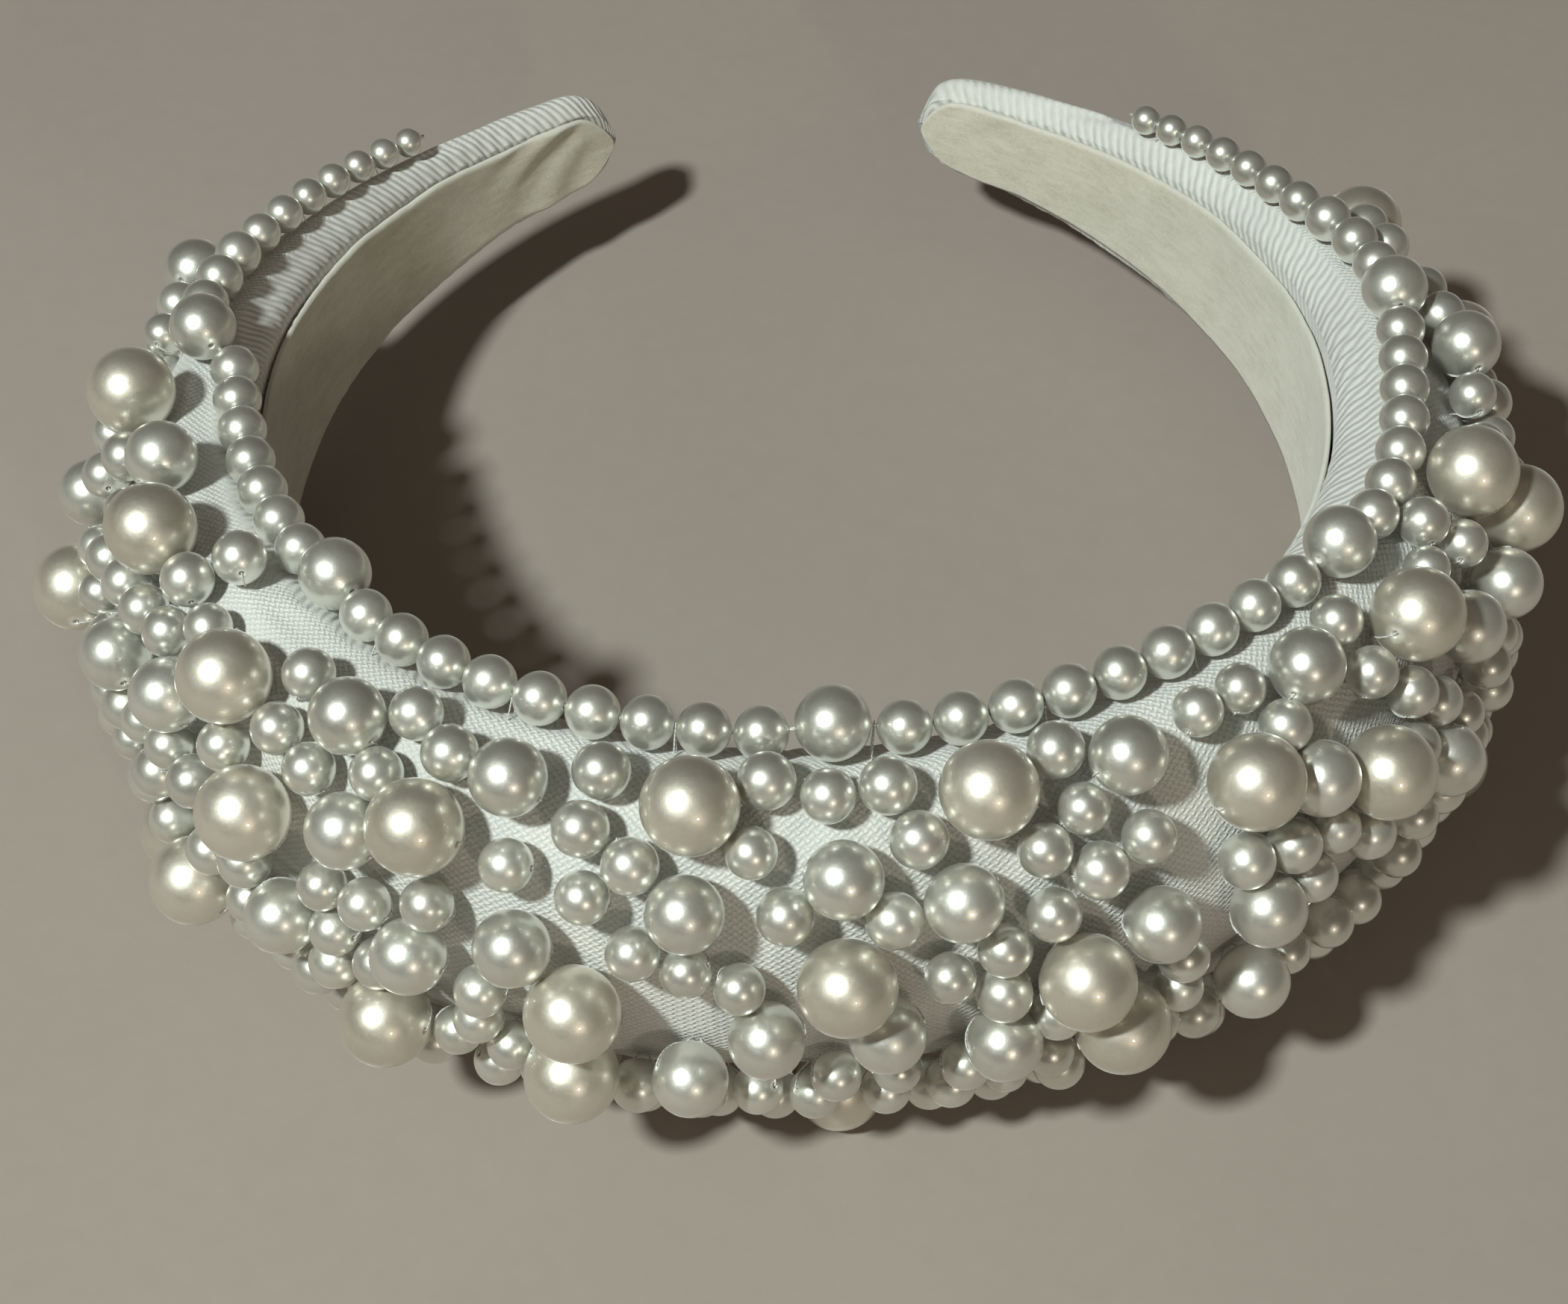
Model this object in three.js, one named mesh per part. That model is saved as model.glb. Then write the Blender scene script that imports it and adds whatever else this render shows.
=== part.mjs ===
// A padded bridal headband sewn with imitation pearls, lying on its side.
// Millimetres, +Z up. The wide crown faces -Y and the two tips point to +Y.
// Every place on the band is given by two values: the distance along the lining from the
// middle of the crown (negative on the left), and the angle round the padded section
// (0 at the top of the padding, 90 at its upper edge, -90 at its lower edge).

import * as THREE from 'three';

// Driving dimensions of the band.
// Plan of the lining, from the middle of the crown to one tip: [length, radius] of each arc.
const BAND_ARCS = [[20, 69], [55, 60.5], [35, 65.5], [40, 73], [32, 83]];
// Width across the padding and its thickness, each as [distance along the band, size].
const BAND_WIDTH = [[0, 43], [40, 44], [80, 40], [110, 33], [140, 24], [165, 17], [182, 14.5]];
const BAND_THICKNESS = [[0, 20.3], [40, 21.5], [80, 18.5], [110, 13], [140, 9], [165, 6.5], [182, 5]];
const TIP_ROUND = 7;
const TIP_SQUARENESS = 0.94;
// The padded section is an ellipse: its middle stands this share of the thickness off the lining.
const MIDDLE_SHARE = 0.4;

// Layers, from the head outwards.
const LINING_THICK = 0.7;
const LINING_FACE = -1;
const LINING_SHARE = 0.72;
const LINING_END = 1.5;
const HEM_THICK = 0.6;
const HEM_DEPTH = 5;
const HEM_SHARE = 0.4;
const CORE_BACK = 0.9;
const CORE_THICK = 1.4;
const CORE_SHARE = 0.55;
const COVER_THICK = 0.8;
const FOAM_BACK = 2.6;
const FOAM_INSET = 1.3;
const INNER_END = 2.5;

// Pearls.
const LARGE = 10;
const MEDIUM = 8;
const EDGE_MEDIUM = 7.8;
const SMALL = 5.6;
const TIP_FIRST = 5;
const TIP_STEP = 0.2;
const SEAT_GAP = 0.3;
const PEARL_GAP = 0.25;
const EDGE_GAP = 0.15;
const EDGE_GAP_WIDE = 0.5;
const THREAD_RADIUS = 0.3;

// The edge strand is sewn on by hand, so its angle wanders from the left tip to the right one.
const EDGE_ANGLES = [
  [-175, 94], [-150, 87], [-104.5, 86], [-98, 108], [-62, 112], [-46, 106], [0, 101],
  [40, 99], [62, 89], [85, 92], [106, 86], [124, 94], [175, 94],
];

// How finely the plain solids are faceted.
const CROWN_FACET = 7;
const STATION_STEP = 9;
const TIP_STATIONS = 4;
const COVER_SIDES = 14;
const FOAM_SIDES = 11;
const BEAD_SIDES = 5;
const BALL_DETAIL = 1;
const SETTLE_PASSES = 60;
const SPACING_PASSES = 8;
// Rings of one threaded pearl: share of its radius along the thread, and across it.
const BEAD_RINGS = [[-0.78, 0.62], [0, 1], [0.78, 0.62]];

// The headband lies on one pearl within this distance of the crown's middle, and on one pearl
// of each side beyond the second distance.
const CROWN_FOOT_REACH = 30;
const SIDE_FOOT_START = 60;

// The strand along the upper edge, from the middle of the crown to a tip:
// M medium, S small, T one of the last small pearls, which get smaller towards the tip.
const EDGE_STRAND = 'M' + 'S'.repeat(9) + 'M' + 'S'.repeat(7) + 'M' + 'SSS' + 'T'.repeat(7);

// Beading chart of the pearls that are sewn on one by one, as seen from outside the band.
// Each column is 3 mm along the band and each row 10 degrees round the section: L large, M medium.
const CHART_COLUMN = 3;
const CHART_ROW = 10;
const CHART_TOP_ANGLE = 80;
const BEADING_CHART = [
  '................M......................................................................',
  '............L......L.........M....M....L.......L...M.....M.........L...................',
  '.........................L...................................L............M............',
  '...M............................L..........M..........L................................',
  '.......................M......M........M......M.........M......M....L..................',
  '....................M......L..............................L.......M.................L..',
  '............M......................M.......L.......M..........................L........',
  '...............L................M...L............L....M......M.........................',
  '............................M............M..M..........................................',
  '...............................................M..L....................................',
  '........................L......L....L..M..............M................................',
  '.......................................................................................',
  '.......................................................................................',
  '....................L.............................................L....................',
  '.......................................................................................',
  '.......................................................................................',
  '.......M...................................L...................................M.......',
];

const BAND_HALF = BAND_ARCS.reduce((sum, [length]) => sum + length, 0);
const radians = THREE.MathUtils.degToRad;

// Smooth curve through a table of [distance, value], level at the crown.
function profile(table, distance) {
  const slope = (i) => {
    if (i === 0) return 0;
    const before = table[i - 1];
    const after = table[Math.min(i + 1, table.length - 1)];
    return (after[1] - before[1]) / (after[0] - before[0]);
  };
  let i = 0;
  while (i < table.length - 2 && distance > table[i + 1][0]) i += 1;
  const [start, from] = table[i];
  const [end, to] = table[i + 1];
  const span = end - start;
  const t = (distance - start) / span;
  const t2 = t * t;
  const t3 = t2 * t;
  return from * (2 * t3 - 3 * t2 + 1) + slope(i) * span * (t3 - 2 * t2 + t)
    + to * (3 * t2 - 2 * t3) + slope(i + 1) * span * (t3 - t2);
}

// The point on the lining's plan curve at a distance along the band, and the way out from the head.
function planAt(distance) {
  let left = Math.abs(distance);
  let heading = 0;
  const at = new THREE.Vector2(0, 0);
  for (const [length, radius] of BAND_ARCS) {
    const run = Math.min(left, length);
    const turn = run / radius;
    at.x += radius * (Math.sin(heading + turn) - Math.sin(heading));
    at.y += radius * (Math.cos(heading) - Math.cos(heading + turn));
    heading += turn;
    left -= run;
  }
  const side = distance < 0 ? -1 : 1;
  const outward = new THREE.Vector2(side * Math.sin(heading), -Math.cos(heading));
  return { at: new THREE.Vector2(side * at.x, at.y), outward };
}

function widthAt(distance) {
  const along = Math.abs(distance);
  const t = Math.max(0, (along - (BAND_HALF - TIP_ROUND)) / TIP_ROUND);
  return profile(BAND_WIDTH, along) * Math.sqrt(1 - TIP_SQUARENESS * t * t);
}

// Half axes of the padded section and the height of its middle above the lining.
function sectionAt(distance) {
  const thickness = profile(BAND_THICKNESS, Math.abs(distance));
  return {
    across: widthAt(distance) / 2,
    out: thickness * (1 - MIDDLE_SHARE),
    middle: thickness * MIDDLE_SHARE,
  };
}

// A point of the section, out from the lining and up across the band, in the band's own frame.
function place(distance, out, up) {
  const { at, outward } = planAt(distance);
  return new THREE.Vector3(at.x + outward.x * out, at.y + outward.y * out, up);
}

// Centre of a pearl that rests on the cover.
function seat(distance, angle, radius) {
  const { across, out, middle } = sectionAt(distance);
  const cos = Math.cos(radians(angle));
  const sin = Math.sin(radians(angle));
  const normal = new THREE.Vector2(cos / out, sin / across).normalize();
  const lift = radius + SEAT_GAP;
  return place(distance, middle + out * cos + normal.x * lift, across * sin + normal.y * lift);
}

// Distances along the band at which the solids get a section, closer together at the round tips.
function stations(end) {
  const half = [];
  const straight = Math.min(end, BAND_HALF - TIP_ROUND);
  const steps = Math.round((straight - CROWN_FACET / 2) / STATION_STEP);
  for (let i = 0; i <= steps; i += 1) {
    half.push(CROWN_FACET / 2 + (straight - CROWN_FACET / 2) * (i / steps));
  }
  for (let i = 1; i <= TIP_STATIONS && end > straight; i += 1) {
    half.push(straight + (end - straight) * Math.sin((Math.PI / 2) * (i / TIP_STATIONS)));
  }
  return [...half.map((value) => -value).reverse(), ...half];
}

// A closed solid through rings of points that all have the same count; the flat outline of the
// first and last rings closes the ends.
function loft(rings, firstOutline, lastOutline) {
  const count = rings[0].length;
  const positions = rings.flat().flatMap((point) => point.toArray());
  const index = [];
  for (let ring = 0; ring + 1 < rings.length; ring += 1) {
    for (let i = 0; i < count; i += 1) {
      const a = ring * count + i;
      const b = ring * count + ((i + 1) % count);
      index.push(a, a + count, b, b, a + count, b + count);
    }
  }
  const last = (rings.length - 1) * count;
  for (const [a, b, c] of THREE.ShapeUtils.triangulateShape(firstOutline, [])) {
    index.push(a, b, c);
  }
  for (const [a, b, c] of THREE.ShapeUtils.triangulateShape(lastOutline, [])) {
    index.push(last + a, last + c, last + b);
  }
  const geometry = new THREE.BufferGeometry();
  geometry.setAttribute('position', new THREE.Float32BufferAttribute(positions, 3));
  geometry.setIndex(index);
  geometry.computeVertexNormals();
  return geometry;
}

// A layer of the band: outlineAt gives its section at a distance as [out, up] points,
// running anticlockwise with out to the right and up upwards.
function layer(end, outlineAt) {
  const distances = stations(end);
  const pointsAt = (distance) => outlineAt(distance).map(([out, up]) => new THREE.Vector2(out, up));
  const outlines = distances.map(pointsAt);
  const rings = outlines.map((outline, i) => outline.map(({ x, y }) => place(distances[i], x, y)));
  return loft(rings, outlines[0], outlines[outlines.length - 1]);
}

// Points of the padded section's ellipse, shrunk by inset, from one angle to another in radians.
function ellipse(distance, inset, from, to, sides) {
  const { across, out, middle } = sectionAt(distance);
  const points = [];
  for (let i = 0; i <= sides; i += 1) {
    const angle = from + (to - from) * (i / sides);
    points.push([middle + (out - inset) * Math.cos(angle), (across - inset) * Math.sin(angle)]);
  }
  return points;
}

// The angle at which the shrunk ellipse comes down to a given height above the lining.
function angleAtHeight(distance, inset, height) {
  const { out, middle } = sectionAt(distance);
  return Math.acos((height - middle) / (out - inset));
}

function strip(halfWidth, back, thick) {
  return [[back, -halfWidth], [back + thick, -halfWidth], [back + thick, halfWidth], [back, halfWidth]];
}

function liningGeometry() {
  const outlineAt = (distance) => strip((widthAt(distance) * LINING_SHARE) / 2, LINING_FACE, LINING_THICK);
  return layer(BAND_HALF - LINING_END, outlineAt);
}

function coreGeometry() {
  const outlineAt = (distance) => strip((widthAt(distance) * CORE_SHARE) / 2, CORE_BACK, CORE_THICK);
  return layer(BAND_HALF - INNER_END, outlineAt);
}

function foamGeometry() {
  return layer(BAND_HALF - INNER_END, (distance) => {
    const edge = angleAtHeight(distance, FOAM_INSET, FOAM_BACK);
    return ellipse(distance, FOAM_INSET, -edge, edge, FOAM_SIDES);
  });
}

// The cover wraps the dome from one edge of the lining to the other, with a hem turned under it.
function coverGeometry() {
  return layer(BAND_HALF, (distance) => {
    const outer = angleAtHeight(distance, 0, 0);
    const inner = angleAtHeight(distance, COVER_THICK, HEM_THICK);
    const outside = ellipse(distance, 0, -outer, outer, COVER_SIDES);
    const inside = ellipse(distance, COVER_THICK, inner, -inner, COVER_SIDES);
    const edge = outside[outside.length - 1][1];
    const hem = Math.max(edge - HEM_DEPTH, edge * HEM_SHARE);
    return [...outside, [0, hem], [HEM_THICK, hem], ...inside, [HEM_THICK, -hem], [0, -hem]];
  });
}

// Where the pearls of one half of the edge strand sit, each touching the last but for the gap.
function edgeSeats(side) {
  const seats = [];
  let distance = 0;
  let tips = 0;
  for (const letter of EDGE_STRAND) {
    const sizes = { M: EDGE_MEDIUM, S: SMALL, T: TIP_FIRST - TIP_STEP * tips };
    if (letter === 'T') tips += 1;
    const radius = sizes[letter] / 2;
    const seatAt = (s) => seat(side * s, profile(EDGE_ANGLES, side * s), radius);
    const before = seats[seats.length - 1];
    if (before) {
      const gap = letter === 'S' && before.letter === 'S' ? EDGE_GAP : EDGE_GAP_WIDE;
      const apart = before.radius + radius + gap;
      const start = distance;
      distance += apart;
      for (let i = 0; i < SPACING_PASSES; i += 1) {
        distance = start + ((distance - start) * apart) / seatAt(distance).distanceTo(before.centre);
      }
    }
    seats.push({ letter, radius, centre: seatAt(distance) });
  }
  return seats;
}

// Pearls threaded on one line, as one solid with the thread showing between them.
function strandGeometry(seats) {
  const rings = [];
  const circle = [];
  for (let i = 0; i < BEAD_SIDES; i += 1) {
    const angle = (2 * Math.PI * i) / BEAD_SIDES;
    circle.push(new THREE.Vector2(Math.cos(angle), Math.sin(angle)));
  }
  const up = new THREE.Vector3(0, 0, 1);
  const ringAt = (centre, along, radius) => {
    const flat = new THREE.Vector3().crossVectors(up, along).normalize();
    const high = new THREE.Vector3().crossVectors(flat, along);
    rings.push(circle.map((point) => centre.clone()
      .addScaledVector(flat, point.x * radius)
      .addScaledVector(high, point.y * radius)));
  };
  seats.forEach(({ centre, radius }, i) => {
    const before = seats[Math.max(i - 1, 0)];
    const after = seats[Math.min(i + 1, seats.length - 1)];
    const along = new THREE.Vector3().subVectors(after.centre, before.centre).normalize();
    for (const [forward, share] of BEAD_RINGS) {
      ringAt(centre.clone().addScaledVector(along, forward * radius), along, share * radius);
    }
    if (after.centre === centre) return;
    const step = new THREE.Vector3().subVectors(after.centre, centre).normalize();
    const neck = centre.clone().addScaledVector(step, radius)
      .lerp(after.centre.clone().addScaledVector(step, -after.radius), 0.5);
    ringAt(neck, step, THREAD_RADIUS);
  });
  return loft(rings, circle, circle);
}

// Reads the beading chart, row by row from the upper edge.
function chartPearls() {
  const pearls = [];
  BEADING_CHART.forEach((row, rowNumber) => {
    [...row].forEach((letter, column) => {
      if (letter === '.') return;
      pearls.push({
        letter,
        radius: (letter === 'L' ? LARGE : MEDIUM) / 2,
        distance: (column - (row.length - 1) / 2) * CHART_COLUMN,
        angle: CHART_TOP_ANGLE - rowNumber * CHART_ROW,
      });
    });
  });
  return pearls;
}

// Slides a pearl over the cover by a small step in space.
function slide(pearl, step) {
  const here = seat(pearl.distance, pearl.angle, pearl.radius);
  const along = seat(pearl.distance + 1, pearl.angle, pearl.radius).sub(here);
  const round = seat(pearl.distance, pearl.angle + 1, pearl.radius).sub(here);
  pearl.distance += step.dot(along) / along.lengthSq();
  pearl.angle += step.dot(round) / round.lengthSq();
}

// Pushes pearls apart until each pair only just clears. The edge pearls stay where they are.
function settle(pearls, fixed) {
  const centreOf = (pearl) => seat(pearl.distance, pearl.angle, pearl.radius);
  for (let pass = 0; pass < SETTLE_PASSES; pass += 1) {
    pearls.forEach((pearl, i) => {
      for (const other of pearls.slice(i + 1)) {
        const apart = centreOf(pearl).sub(centreOf(other));
        const short = pearl.radius + other.radius + PEARL_GAP - apart.length();
        if (short > 0) {
          const push = apart.normalize().multiplyScalar(short / 2);
          slide(pearl, push);
          slide(other, push.negate());
        }
      }
      for (const other of fixed) {
        const apart = centreOf(pearl).sub(other.centre);
        const short = pearl.radius + other.radius + PEARL_GAP - apart.length();
        if (short > 0) slide(pearl, apart.normalize().multiplyScalar(short));
      }
    });
  }
  return pearls;
}

function finish(color, roughness, metalness = 0) {
  return new THREE.MeshStandardMaterial({ color, roughness, metalness });
}

const FINISHES = {
  cloth: finish(0xe9eaea, 0.75),
  suede: finish(0xdcd8c4, 0.95),
  foam: finish(0xf0ece0, 1),
  plastic: finish(0xd9d5cc, 0.5),
  largePearl: finish(0xe6e2d6, 0.22, 0.1),
  pearl: finish(0xdfe3e2, 0.2, 0.1),
};

const headband = new THREE.Group();

function add(name, geometry, material) {
  const mesh = new THREE.Mesh(geometry, material.clone());
  mesh.name = name;
  headband.add(mesh);
  return mesh;
}

add('core_band', coreGeometry(), FINISHES.plastic);
add('foam_pad', foamGeometry(), FINISHES.foam);
add('fabric_cover', coverGeometry(), FINISHES.cloth);
add('suede_lining', liningGeometry(), FINISHES.suede);

const edgePearls = [...edgeSeats(-1).slice(1).reverse(), ...edgeSeats(1)];
add('upper_edge_strand', strandGeometry(edgePearls), FINISHES.pearl);

const pearls = settle(chartPearls(), edgePearls);
const pearlCount = { L: 0, M: 0 };
for (const pearl of pearls) {
  const [size, coating] = pearl.letter === 'L' ? ['large', FINISHES.largePearl] : ['medium', FINISHES.pearl];
  pearlCount[pearl.letter] += 1;
  const number = String(pearlCount[pearl.letter]).padStart(2, '0');
  const ball = new THREE.IcosahedronGeometry(pearl.radius, BALL_DETAIL);
  const mesh = add(`${size}_pearl_${number}`, ball, coating);
  mesh.position.copy(seat(pearl.distance, pearl.angle, pearl.radius));
  pearl.low = mesh.position.z - pearl.radius;
  pearl.depth = mesh.position.y;
}

// The headband lies on its lowest pearls: one under the crown and one under each side. It is
// tipped about X until they touch the same flat surface, then moved to stand centred on it.
const lowest = (group) => group.reduce((low, pearl) => (pearl.low < low.low ? pearl : low));
const crownFoot = lowest(pearls.filter((pearl) => Math.abs(pearl.distance) < CROWN_FOOT_REACH));
const sideFoot = lowest(pearls.filter((pearl) => pearl.distance > SIDE_FOOT_START));
const tilt = Math.atan2(sideFoot.low - crownFoot.low, sideFoot.depth - crownFoot.depth);
headband.rotation.x = -tilt;
headband.updateMatrixWorld(true);
const box = new THREE.Box3().setFromObject(headband, true);
const middle = box.getCenter(new THREE.Vector3());
headband.position.set(-middle.x, -middle.y, -box.min.z);

export default headband;
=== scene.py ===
# A padded bridal headband: a springy core, a foam pad, a stretched ivory cloth cover, a suede
# lining, a strand of threaded pearls along its upper edge and loose pearls sewn on one by one.
# Shapes are worked out in millimetres in the band's own frame and laid down in metres.
# A place on the band is a distance along the lining from the middle of the crown (negative
# on the left) and an angle round the padded section (0 at its top, 90 at its upper edge).
import math

import bpy
import numpy as np
from mathutils import Matrix, Vector


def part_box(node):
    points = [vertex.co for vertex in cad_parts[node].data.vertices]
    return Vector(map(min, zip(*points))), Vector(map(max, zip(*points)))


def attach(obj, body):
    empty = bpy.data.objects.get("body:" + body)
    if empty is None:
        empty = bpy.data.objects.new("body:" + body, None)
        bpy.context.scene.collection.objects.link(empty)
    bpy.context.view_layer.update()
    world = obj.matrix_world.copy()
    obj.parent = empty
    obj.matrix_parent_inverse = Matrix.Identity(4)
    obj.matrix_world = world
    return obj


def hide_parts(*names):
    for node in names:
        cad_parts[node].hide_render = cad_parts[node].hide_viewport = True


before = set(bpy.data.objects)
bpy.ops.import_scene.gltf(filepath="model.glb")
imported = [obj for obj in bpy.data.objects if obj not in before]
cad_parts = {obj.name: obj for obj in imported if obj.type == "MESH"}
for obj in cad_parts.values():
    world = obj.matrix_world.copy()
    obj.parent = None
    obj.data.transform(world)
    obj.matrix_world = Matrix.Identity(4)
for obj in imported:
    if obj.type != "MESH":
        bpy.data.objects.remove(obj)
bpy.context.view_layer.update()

# -------- driving dimensions (mm)
METRES = 0.001
# The band's plan is a row of arcs, given as length and radius, from the crown to a tip.
BAND_ARCS = [(20, 69), (55, 60.5), (35, 65.5), (40, 73), (32, 83)]
# A size that changes along the band is a table of distances from the crown and sizes there.
BAND_WIDTH = [(0, 43), (40, 44), (80, 40), (110, 33), (140, 24), (165, 17), (182, 14.5)]
BAND_THICKNESS = [(0, 20.3), (40, 21.5), (80, 18.5), (110, 13), (140, 9), (165, 6.5), (182, 5)]
BAND_HALF = sum(length for length, radius in BAND_ARCS)
TIP_ROUND = 7
TIP_SQUARENESS = 0.94
TIP_CAP = 2.2
MIDDLE_SHARE = 0.4

LINING_THICK = 0.7
LINING_FACE = -1.0
LINING_SHARES = [(0, 0.63), (60, 0.62), (110, 0.65), (150, 0.71), (182, 0.74)]
LINING_END, LINING_TIP = 0.9, 5.0
LINING_STEP, LINING_ACROSS = 0.8, 33
CREASE_AT, CREASE_WIDE = 171.0, 7.0
CREASE_DEEP_LEFT, CREASE_DEEP_RIGHT = 0.3, 0.14
HEM_THICK = 0.6
HEM_DEPTH = 5.0
HEM_SHARE = 0.4
COVER_THICK = 0.8
COVER_STEP, COVER_ROUND = 0.62, 73
GATHER_START, GATHER_PITCH, GATHER_HIGH, GATHER_UNEVEN = 104, 2.5, 0.09, 0.05
PLEAT_START, PLEAT_RISE, PLEAT_HIGH = 168, 12, 0.22
FOAM_BACK = 2.6
FOAM_INSET = 1.3
FOAM_END, FOAM_TIP = 2.5, 3.0

LARGE, MEDIUM, EDGE_MEDIUM, SMALL = 10.0, 8.0, 7.8, 5.6
TIP_FIRST, TIP_STEP = 5.0, 0.2
SEAT_GAP = 0.3
PEARL_GAP = 0.2
TABLE_GAP = 0.4
EDGE_GAP, EDGE_GAP_WIDE = 0.15, 0.5
# The strand is sewn on by hand, so its angle wanders from the left tip to the right one.
EDGE_ANGLES = [
    (-175, 94), (-150, 87), (-104.5, 86), (-98, 108), (-62, 112), (-46, 106), (0, 101),
    (40, 99), (62, 89), (85, 92), (106, 86), (124, 94), (175, 94),
]
UPPER_EDGE = "M" + "S" * 9 + "M" + "S" * 7 + "M" + "SSS" + "T" * 7
STRAND_THREAD, STITCH_THREAD = 0.2, 0.08
STITCH_DEEP, THREAD_END = 0.5, 0.8

# Beading chart of the small pearls whose place is fixed, seen from outside the band: each column
# is 2 mm along it, each row 5 degrees round it, from 80 at the top. Column 37 is the middle.
CHART_COLUMN, CHART_MIDDLE, CHART_ROW, CHART_TOP = 2.0, 37, 5.0, 80.0
SMALL_CHART = [
    "..................................S",
    ".............S....S........S.........S.S.......S.....S.S.....S.......S",
    "....S................S",
    ".......S",
    "..................S........S.....S......S......S........S",
    "....S........S...............................................S",
    ".S...S.........S.............S...............S",
    "........................S........................S",
    "...S.......S...............S.......S...S.......S",
    "",
    ".............................................S",
    ".....................S.......S.......................S",
    "...S...S.S.....................S.......................S.S",
    ".....S...........S.S.............S.......S.S",
    "......S.................................................S..S",
    ".............S.............................S",
    "..................S...............................S",
    ".................S.....S",
    "............S................................S...S",
    "..................S....S",
    ".....................S...S",
    "...............S",
]
# Where small pearls fill the room that is left: side of the band, distances along it, angles
# round it, and the least and most room between a pearl and its nearest neighbour.
FILLED = [
    dict(side=-1, start=50, end=121, low=-82, high=77, room=(0.2, 0.9), tries=16000),
    dict(side=1, start=50, end=121, low=-82, high=66, room=(0.2, 0.9), tries=15000),
    dict(side=-1, start=0, end=82, low=-98, high=-24, room=(0.5, 2.4), tries=7000),
    dict(side=1, start=0, end=82, low=-98, high=-24, room=(0.5, 2.4), tries=7000),
]

SETTLE_ROUNDS, SETTLE_SHARE = 50, 0.6
# How far a pearl's hole leans, in degrees for each mm from the middle, and how unevenly.
LEAN_PER_MM, LEAN_UP_TO, LEAN_UNEVEN = 0.65, 60, 0.35

rng = np.random.default_rng(7)


# -------- the band's shape
def profile(table, along):
    """Smooth curve through a table of (distance, size), level at the crown."""
    at, size = np.array(table, float).T
    after = np.minimum(np.arange(len(at)) + 1, len(at) - 1)
    slope = np.zeros(len(at))
    slope[1:] = (size[after[1:]] - size[:-1]) / (at[after[1:]] - at[:-1])
    i = np.clip(np.searchsorted(at, along) - 1, 0, len(at) - 2)
    span = at[i + 1] - at[i]
    t = (along - at[i]) / span
    t2, t3 = t * t, t * t * t
    return (
        size[i] * (2 * t3 - 3 * t2 + 1)
        + slope[i] * span * (t3 - 2 * t2 + t)
        + size[i + 1] * (3 * t2 - 2 * t3)
        + slope[i + 1] * span * (t3 - t2)
    )


def plan_at(distance):
    """Points on the lining's plan curve, and the ways out from the head there."""
    distance = np.asarray(distance, float)
    side = np.where(distance < 0, -1.0, 1.0)
    left = np.abs(distance)
    heading, x, y = np.zeros_like(left), np.zeros_like(left), np.zeros_like(left)
    for length, radius in BAND_ARCS:
        turn = np.clip(left, 0, length) / radius
        x = x + radius * (np.sin(heading + turn) - np.sin(heading))
        y = y + radius * (np.cos(heading) - np.cos(heading + turn))
        heading = heading + turn
        left = left - length
    return side * x, y, side * np.sin(heading), -np.cos(heading)


def width_at(distance):
    along = np.abs(distance)
    t = np.maximum(0, (along - (BAND_HALF - TIP_ROUND)) / TIP_ROUND)
    return profile(BAND_WIDTH, along) * np.sqrt(1 - TIP_SQUARENESS * t * t)


def section_at(distance):
    """Half axes of the padded section and the height of its middle above the lining."""
    thickness = profile(BAND_THICKNESS, np.abs(distance))
    return width_at(distance) / 2, thickness * (1 - MIDDLE_SHARE), thickness * MIDDLE_SHARE


def place(distance, out, up):
    """Points from distances along the band, out from the head and up from its middle line."""
    x, y, out_x, out_y = plan_at(distance)
    up = up + 0 * x
    return np.stack([x + out_x * out, y + out_y * out, up], axis=-1)


def round_section(distance, angle, lift):
    """How far out and up a place on the padded section lies, raised off it by lift."""
    across, out, middle = section_at(np.asarray(distance, float))
    cos, sin = np.cos(np.radians(angle)), np.sin(np.radians(angle))
    normal_out, normal_up = cos / out, sin / across
    size = np.hypot(normal_out, normal_up)
    return middle + out * cos + normal_out / size * lift, across * sin + normal_up / size * lift


def on_cover(distance, angle, lift=0.0):
    """A point on the cover, or above it by lift."""
    return place(distance, *round_section(distance, angle, lift))


def seat(distance, angle, radius):
    """Centre of a pearl that rests on the cover."""
    return on_cover(distance, angle, radius + SEAT_GAP)


def unit(v):
    return v / max(np.linalg.norm(v), 1e-12)


def ramp(value, start, length):
    """0 up to start, then rising to 1 over the length."""
    return np.clip((value - start) / length, 0, 1)


def directions(distance, angle):
    """Along the band, round the section and out from the cover, at one place."""
    here = on_cover(distance, angle)
    along = unit(on_cover(distance + 0.5, angle) - here)
    out = unit(on_cover(distance, angle, 1.0) - here)
    return along, unit(np.cross(out, along)), out


def centre_of(node):
    """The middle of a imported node, in mm."""
    low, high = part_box(node)
    return np.array((low + high) / 2) / METRES


# The headband lies on a pearl under its crown and one under each side. The first and one of the
# others give its tilt and its place on the table.
CROWN_FOOT, SIDE_FOOT = "large_pearl_25", "medium_pearl_30"
CROWN_FOOT_SEAT = seat(0.0, -80.0, LARGE / 2)
SIDE_FOOT_SEAT = seat(108.0, -80.0, MEDIUM / 2)
laid = centre_of(SIDE_FOOT) - centre_of(CROWN_FOOT)
drawn = SIDE_FOOT_SEAT - CROWN_FOOT_SEAT
TILT = math.atan2(laid[2], laid[1]) - math.atan2(drawn[2], drawn[1])
TILTED = np.array(Matrix.Rotation(TILT, 3, "X"))
MOVED = centre_of(CROWN_FOOT) - TILTED @ CROWN_FOOT_SEAT


def laid_down(points):
    """Band points in mm, as the finished headband lies, in metres."""
    return (np.asarray(points, float) @ TILTED.T + MOVED) * METRES


def in_band(point):
    """A point of the finished headband in mm, in the band's own frame."""
    return (np.asarray(point, float) - MOVED) @ TILTED


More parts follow.
